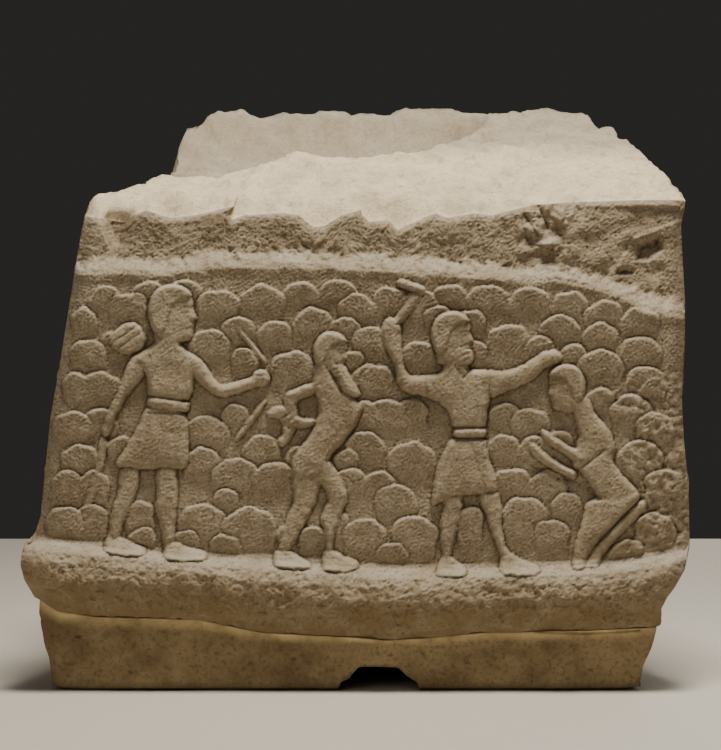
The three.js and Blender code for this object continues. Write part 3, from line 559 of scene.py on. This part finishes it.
FOOT_MARKS = [(68, 663, 74, 662, 1.3, -4), (75, 635, 79, 635, 1.2, -3), (293.8, 657, 294.2, 657, 1.3, -4),
    (391, 653.6, 391.4, 653.6, 1.2, -4), (130.5, 670.7, 131, 670.7, 1.3, -4), (535, 630, 585, 632, 1.0, -3.5),
    (585, 632, 640, 629, 1.0, -3.0), (78, 680, 91, 681, 2.2, -2.4), (100, 669, 101, 669, 2.0, -1.8),
    (210, 661, 240, 664, 6.0, 1.0), (450, 660, 520, 654, 7.0, 1.2), (590, 668, 592, 668, 1.0, -2.6)]


def foot_place(u, v, w):
    s = ease(0, 1, w)
    col = lerp(lerp(49, 641, u), lerp(38, 657, u), s)
    fx = (col - COL0) * UNIT * (1 + FOOT_Y / VIEW)
    bx = lerp(-286, 280, u) * lerp(0.985, 1, s)
    x = lerp(fx, bx, v)
    y = lerp(FOOT_Y + 10 * np.abs(2 * u - 1) ** 12, DEPTH - 26 - BACK_INSET * np.abs(2 * u - 1) ** 3, v)
    rim = np.minimum(np.minimum(v * 440, (1 - v) * 440), np.minimum(u, 1 - u) * 620)
    low = np.maximum(slot_z(x + 0.8 * noise(y, y * 0, y * 0, 14, 3)), LIP * np.clip(1 - rim / LIP_IN, 0, 1))
    z = lerp(low, joint_z(x, y), w)
    row = ROW0 - (z - EYE_Z) / UNIT
    r = 3.0 * noise(x, y, z, 70, 51) + 1.7 * noise(x * 0.5, y, z, 26, 52) + 0.9 * noise(x * 0.7, y, z, 11, 53) \
        + 0.5 * noise(x, y, z, 5, 54) - 1.3 * np.abs(noise(x * 0.6, y, z, 38, 58))
    marks = np.zeros_like(x)
    for x0, y0, x1, y1, size, deep in FOOT_MARKS:
        marks += deep * line(col, row, x0, y0, x1, y1, size)
    feather = 2.2 * np.exp(-((1 - w) / 0.16) ** 2) * (1 + 0.6 * noise(x, y, z, 15, 57))
    y = y - np.where(v == 0, 1, 0) * (r + marks + feather) + np.where(v == 1, 1, 0) * r
    x = x + np.where(u == 0, -1, np.where(u == 1, 1, 0)) * r
    return np.stack([x, y, z], 1)


def cube_mesh(name, nu, nv, nw, place, vpow=1.0, coarse=4):
    """A closed skin of quads from a deformed cube; the far face is coarser and joined with longer polygons."""
    K = lambda i, j, k: (i * (nv + 1) + j) * (nw + 1) + k
    quads = []

    def grid(a, b, c, d):
        quads.append(np.stack([a.ravel(), b.ravel(), c.ravel(), d.ravel()], 1))

    i, k = np.meshgrid(np.arange(nu), np.arange(nw), indexing="ij")
    grid(K(i, 0, k), K(i + 1, 0, k), K(i + 1, 0, k + 1), K(i, 0, k + 1))
    j, k = np.meshgrid(np.arange(nv - 1), np.arange(nw), indexing="ij")
    grid(K(0, j + 1, k), K(0, j, k), K(0, j, k + 1), K(0, j + 1, k + 1))
    grid(K(nu, j, k), K(nu, j + 1, k), K(nu, j + 1, k + 1), K(nu, j, k + 1))
    i, j = np.meshgrid(np.arange(nu), np.arange(nv - 1), indexing="ij")
    grid(K(i, j, nw), K(i + 1, j, nw), K(i + 1, j + 1, nw), K(i, j + 1, nw))
    grid(K(i, j + 1, 0), K(i + 1, j + 1, 0), K(i + 1, j, 0), K(i, j, 0))
    i, k = np.meshgrid(np.arange(0, nu, coarse), np.arange(0, nw, coarse), indexing="ij")
    grid(K(i + coarse, nv, k), K(i, nv, k), K(i, nv, k + coarse), K(i + coarse, nv, k + coarse))
    faces = np.concatenate(quads).tolist()
    for s in range(0, nw, coarse):
        fine = [K(0, nv - 1, s + t) for t in range(coarse + 1)]
        faces.append([K(0, nv, s)] + fine + [K(0, nv, s + coarse)])
        fine = [K(nu, nv - 1, s + t) for t in range(coarse + 1)]
        faces.append(([K(nu, nv, s)] + fine + [K(nu, nv, s + coarse)])[::-1])
    for s in range(0, nu, coarse):
        fine = [K(s + t, nv - 1, nw) for t in range(coarse + 1)]
        faces.append(fine + [K(s + coarse, nv, nw), K(s, nv, nw)])
        fine = [K(s + t, nv - 1, 0) for t in range(coarse + 1)]
        faces.append((fine + [K(s + coarse, nv, 0), K(s, nv, 0)])[::-1])
    lengths = np.array([len(f) for f in faces])
    flat = np.concatenate([np.concatenate(quads).ravel(),
                           np.array([q for f in faces[sum(len(a) for a in quads):] for q in f], dtype=np.int64)])
    keys, index = np.unique(flat, return_inverse=True)
    ci, rest = np.divmod(keys, (nv + 1) * (nw + 1))
    cj, ck = np.divmod(rest, nw + 1)
    u, v, w = ci / nu, (cj / nv) ** vpow, ck / nw
    co = place(u, v, w)
    co = (co + np.array([SHIFT_X, SHIFT_Y, 0])) / 1000
    mesh = bpy.data.meshes.new(name)
    mesh.vertices.add(len(keys))
    mesh.vertices.foreach_set("co", co.astype(np.float32).ravel())
    mesh.loops.add(len(index))
    mesh.loops.foreach_set("vertex_index", index.astype(np.int32).ravel())
    mesh.polygons.add(len(lengths))
    starts = np.concatenate([[0], np.cumsum(lengths)[:-1]])
    mesh.polygons.foreach_set("loop_start", starts.astype(np.int32))
    mesh.update(calc_edges=True)
    mesh.validate()
    mesh.polygons.foreach_set("use_smooth", np.ones(len(mesh.polygons), bool))
    obj = bpy.data.objects.new(name, mesh)
    bpy.context.scene.collection.objects.link(obj)
    return obj, u, v, w


def attribute(obj, name, values):
    a = obj.data.attributes.new(name, "FLOAT", "POINT")
    a.data.foreach_set("value", np.asarray(values, np.float32))


block, u, v, w = cube_mesh("stele_block", 480, 80, 360, block_place, 1.25)
col, row = front_point(u, w)
on_front = ease(0.03, 0, v)
t = (row - along(LEDGE, col)) / (along(JOINT, col) - along(LEDGE, col))
# painted shade: the recesses of the relief drawn darker
attribute(block, "dirt", on_front * sample(cavity, col, row))
# raised parts of the relief drawn lighter
attribute(block, "worn", on_front * sample(proud, col, row))
# back of the top: greyer broken stone, partly painted shade of the steep back wall
back = ease(0.62, 0.76, v) * (w > 0.97)
attribute(block, "hollow", back)
# the shelf on top: cream stone, partly painted light from above
attribute(block, "shelf", ease(0.5, 0.3, v) * (w > 0.985) * ease(0, 0.01, v))
attribute(block, "ochre", ease(0.10, 0.75, t) * ease(0.6, 0, v) * 0.95 + 0.25 * ease(0.2, 0, w))
foot, u, v, w = cube_mesh("mortar_foot", 400, 40, 60, foot_place)
# yellow stain along the top of the foot, brightened as painted bounce light
attribute(foot, "feather", ease(0.80, 1.0, w))
# painted shade along the base of the foot
attribute(foot, "low", ease(0.12, 0.0, w))


# ---------------------------------------------------------------- materials
def material(name, build):
    m = bpy.data.materials.new(name)
    m.use_nodes = True
    nodes, links = m.node_tree.nodes, m.node_tree.links
    bsdf = nodes["Principled BSDF"]

    def node(kind, **values):
        n = nodes.new(kind)
        for k, val in values.items():
            if k in ("inputs",):
                for key, x in val.items():
                    n.inputs[key].default_value = x
            else:
                setattr(n, k, val)
        return n

    place = node("ShaderNodeTexCoord")

    def tex(scale, detail=4.0, rough=0.55):
        n = node("ShaderNodeTexNoise", inputs={"Scale": scale, "Detail": detail, "Roughness": rough})
        links.new(place.outputs["Object"], n.inputs["Vector"])
        return n.outputs["Fac"]

    def ramp(source, a, b, lo=0.0, hi=1.0):
        n = node("ShaderNodeMapRange", inputs={"From Min": a, "From Max": b, "To Min": lo, "To Max": hi})
        links.new(source, n.inputs["Value"])
        return n.outputs["Result"]

    def mix(fac, a, b, kind="MIX"):
        n = node("ShaderNodeMix", data_type="RGBA", blend_type=kind)
        for s, val in ((n.inputs[0], fac), (n.inputs[6], a), (n.inputs[7], b)):
            if isinstance(val, bpy.types.NodeSocket):
                links.new(val, s)
            else:
                s.default_value = val
        return n.outputs[2]

    def attr(n):
        return node("ShaderNodeAttribute", attribute_name=n).outputs["Fac"]

    def times(a, b):
        n = node("ShaderNodeMath", operation="MULTIPLY")
        for s, val in ((n.inputs[0], a), (n.inputs[1], b)):
            if isinstance(val, bpy.types.NodeSocket):
                links.new(val, s)
            else:
                s.default_value = val
        return n.outputs[0]

    def bump(height, strength, distance, under=None):
        n = node("ShaderNodeBump", inputs={"Strength": strength, "Distance": distance})
        links.new(height, n.inputs["Height"])
        if under is not None:
            links.new(under, n.inputs["Normal"])
        return n.outputs["Normal"]

    colour, normal, rough = build(tex, ramp, mix, attr, times, bump, node, links)
    links.new(colour, bsdf.inputs["Base Color"])
    links.new(normal, bsdf.inputs["Normal"])
    bsdf.inputs["Roughness"].default_value = rough
    bsdf.inputs["Specular IOR Level"].default_value = 0.25
    return m


def stone(tex, ramp, mix, attr, times, bump, node, links):
    geo = node("ShaderNodeNewGeometry")
    split = node("ShaderNodeSeparateXYZ")
    links.new(geo.outputs["Normal"], split.inputs[0])
    # upward-facing surfaces drawn paler: pale stone on top, partly painted light from above
    up = ramp(split.outputs["Z"], 0.35, 0.9)
    base = mix(ramp(tex(9, 5), 0.38, 0.62), (0.33, 0.25, 0.148, 1), (0.43, 0.34, 0.215, 1))
    base = mix(ramp(tex(60, 4), 0.42, 0.66, 0, 0.55), base, (0.52, 0.43, 0.30, 1))
    base = mix(ramp(tex(240, 3, 0.7), 0.50, 0.72, 0, 0.6), base, (0.25, 0.185, 0.105, 1))
    base = mix(ramp(tex(330, 3, 0.7), 0.52, 0.72, 0, 0.55), base, (0.62, 0.54, 0.41, 1))
    base = mix(times(up, ramp(tex(22, 6, 0.65), 0.36, 0.62, 0.15, 0.9)), base, (0.57, 0.50, 0.395, 1))
    # cream shelf: the stone's pale top, partly painted light
    base = mix(times(attr("shelf"), ramp(tex(30, 6, 0.65), 0.3, 0.6, 0.5, 1.0)), base, (0.95, 0.79, 0.53, 1))
    # greyer back of the top, partly painted shade
    base = mix(times(attr("hollow"), ramp(tex(34, 6, 0.7), 0.35, 0.65, 0.15, 0.8)), base, (0.44, 0.375, 0.275, 1))
    base = mix(ramp(tex(260, 4, 0.75), 0.52, 0.72, 0, 0.42), base, (0.22, 0.16, 0.09, 1))
    base = mix(ramp(tex(85, 5, 0.7), 0.52, 0.72, 0, 0.5), base, (0.29, 0.22, 0.13, 1))
    # painted shade in the recesses of the relief
    base = mix(ramp(attr("dirt"), 0.05, 0.8, 0, 0.82), base, (0.15, 0.105, 0.055, 1))
    # raised parts of the relief drawn lighter
    base = mix(ramp(attr("worn"), 0.15, 0.9, 0, 0.32), base, (0.58, 0.50, 0.37, 1))
    base = mix(times(attr("ochre"), ramp(tex(40, 4), 0.3, 0.7, 0.3, 1.0)), base, (0.25, 0.175, 0.085, 1))
    n = bump(tex(460, 4, 0.75), 1.0, 0.0019)
    n = bump(tex(190, 5, 0.7), 0.6, 0.0030, n)
    return base, n, 0.93


def mortar(tex, ramp, mix, attr, times, bump, node, links):
    base = mix(ramp(tex(9, 7, 0.65), 0.40, 0.60), (0.175, 0.12, 0.058, 1), (0.32, 0.235, 0.12, 1))
    base = mix(ramp(tex(45, 5), 0.45, 0.7, 0, 0.5), base, (0.33, 0.25, 0.135, 1))
    base = mix(ramp(tex(220, 4, 0.7), 0.50, 0.70, 0, 0.75), base, (0.085, 0.06, 0.03, 1))
    # yellow stain at the top of the foot, brightened as painted bounce light
    base = mix(times(attr("feather"), ramp(tex(30, 4), 0.3, 0.65, 0.2, 0.9)), base, (0.70, 0.54, 0.26, 1))
    # painted shade along the base of the foot
    base = mix(times(attr("low"), 0.5), base, (0.10, 0.07, 0.035, 1))
    n = bump(tex(300, 4, 0.7), 0.6, 0.0014)
    n = bump(tex(70, 5, 0.6), 0.5, 0.003, n)
    return base, n, 0.88


block.data.materials.append(material("stone", stone))
foot.data.materials.append(material("mortar", mortar))
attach(block, "root")
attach(foot, "root")
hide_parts("carved_block")
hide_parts("cast_foot")

# ---------------------------------------------------------------- floor, light and camera
bpy.ops.mesh.primitive_plane_add(size=3.2, location=(0, 0.4, 0))
floor = bpy.context.object
floor.name = "floor"
pale = bpy.data.materials.new("pale")
pale.use_nodes = True
pale.node_tree.nodes["Principled BSDF"].inputs["Base Color"].default_value = (0.60, 0.55, 0.47, 1)
pale.node_tree.nodes["Principled BSDF"].inputs["Roughness"].default_value = 0.8
floor.data.materials.append(pale)
floor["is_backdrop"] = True


def area(name, location, target, size, power, colour):
    data = bpy.data.lights.new(name, "AREA")
    data.shape, data.size, data.energy, data.color = "SQUARE", size, power, colour
    obj = bpy.data.objects.new(name, data)
    obj.location = location
    obj.rotation_euler = (Vector(target) - Vector(location)).to_track_quat("-Z", "Y").to_euler()
    bpy.context.scene.collection.objects.link(obj)


area("above", (0.25, -0.62, 2.5), (0, 0.0, 0.3), 0.8, 84, (1.0, 0.955, 0.87))
area("front", (-0.9, -2.6, 1.3), (0, 0, 0.3), 1.8, 13, (1.0, 0.94, 0.86))
area("behind", (0.9, 2.9, 1.5), (0, 0, 0.3), 1.8, 26, (1.0, 0.95, 0.88))
world = bpy.data.worlds.new("world")
world.use_nodes = True
world.node_tree.nodes["Background"].inputs["Color"].default_value = (0.80, 0.78, 0.74, 1)
world.node_tree.nodes["Background"].inputs["Strength"].default_value = 0.03
bpy.context.scene.world = world

cam = bpy.data.cameras.new("camera")
cam.lens, cam.sensor_width, cam.sensor_fit = 128.0, 36.0, "AUTO"
cam.clip_end = 50
cam.dof.use_dof = False
camera = bpy.data.objects.new("camera", cam)
camera.location = (SHIFT_X / 1000, (SHIFT_Y - VIEW) / 1000, EYE_Z / 1000)
camera.rotation_euler = (math.radians(90) - math.atan(28 / 2666.7), 0, 0)
bpy.context.scene.collection.objects.link(camera)
bpy.context.scene.camera = camera

low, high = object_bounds()
